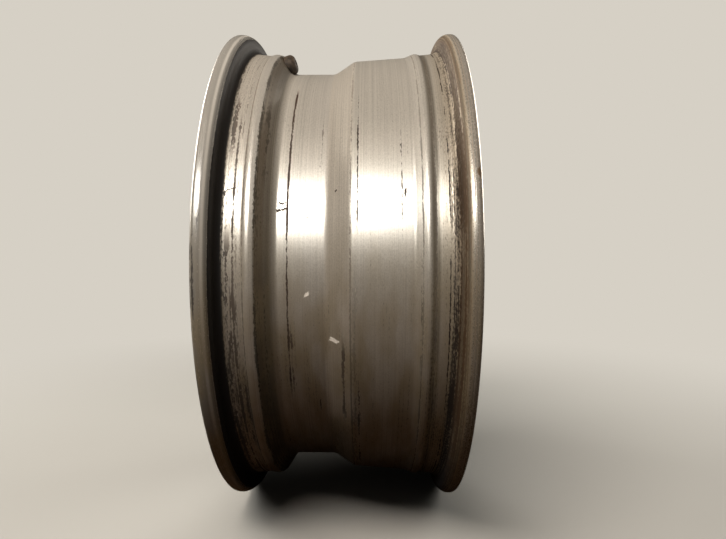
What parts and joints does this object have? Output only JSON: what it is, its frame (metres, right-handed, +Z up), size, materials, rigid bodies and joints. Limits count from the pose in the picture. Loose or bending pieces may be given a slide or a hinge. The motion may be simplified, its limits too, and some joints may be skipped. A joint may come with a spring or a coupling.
{
  "type": "wheel rim",
  "caption": "Cast aluminium car wheel rim with a drop well, J flanges, plain spokes, bolt holes on a circle and a snap-in rubber tyre valve with its screw cap.",
  "frame": {"origin": "centre of the hub's mounting face, on the spin axis", "axes": "+Y along the spin axis towards the car (inboard), +Z up, outboard face towards -Y; the valve lies 70 degrees round from +X towards +Z"},
  "size_m": [0.4712, 0.205, 0.471],
  "materials": {
    "cast_aluminium": "turned and lightly lacquered, stained by tyre rubber and brake dust",
    "valve_rubber": "moulded, matt, dusty",
    "brass": "turned",
    "seal_rubber": "moulded",
    "steel": "drawn wire and turned pin",
    "cap_plastic": "moulded, fluted"
  },
  "bodies": {
    "rim": {"wheel": "cast_aluminium", "valve_body": "valve_rubber", "valve_stem": "brass", "core_plug": "brass", "core_barrel": "brass", "core_seal": "seal_rubber", "core_spring": "steel"},
    "pin": {"core_pin": "steel", "core_cup": "seal_rubber"},
    "seal": {"cap_seal": "seal_rubber"},
    "cap": {"valve_cap": "cap_plastic"}
  },
  "joints": [
    {"name": "pin_press", "type": "slide", "parent": "rim", "child": "pin", "axis": [0.1, 0.9563, 0.2747], "range_m": [0, 0.0012], "stiffness_N_per_m": 300, "springref_m": -0.002, "deforming": ["core_spring"]},
    {"name": "cap_lift", "type": "slide", "parent": "rim", "child": "seal", "axis": [-0.1, -0.9563, -0.2747], "range_m": [0, 0.00913]},
    {"name": "cap_turn", "type": "hinge", "parent": "seal", "child": "cap", "pos_m": [0.06751, -0.04402, 0.18548], "axis": [-0.1, -0.9563, -0.2747], "range_deg": [0, 4150]}
  ],
  "couplings": [
    {"joint": "cap_turn", "follows": "cap_lift", "rad_per_m": 7913.3}
  ]
}
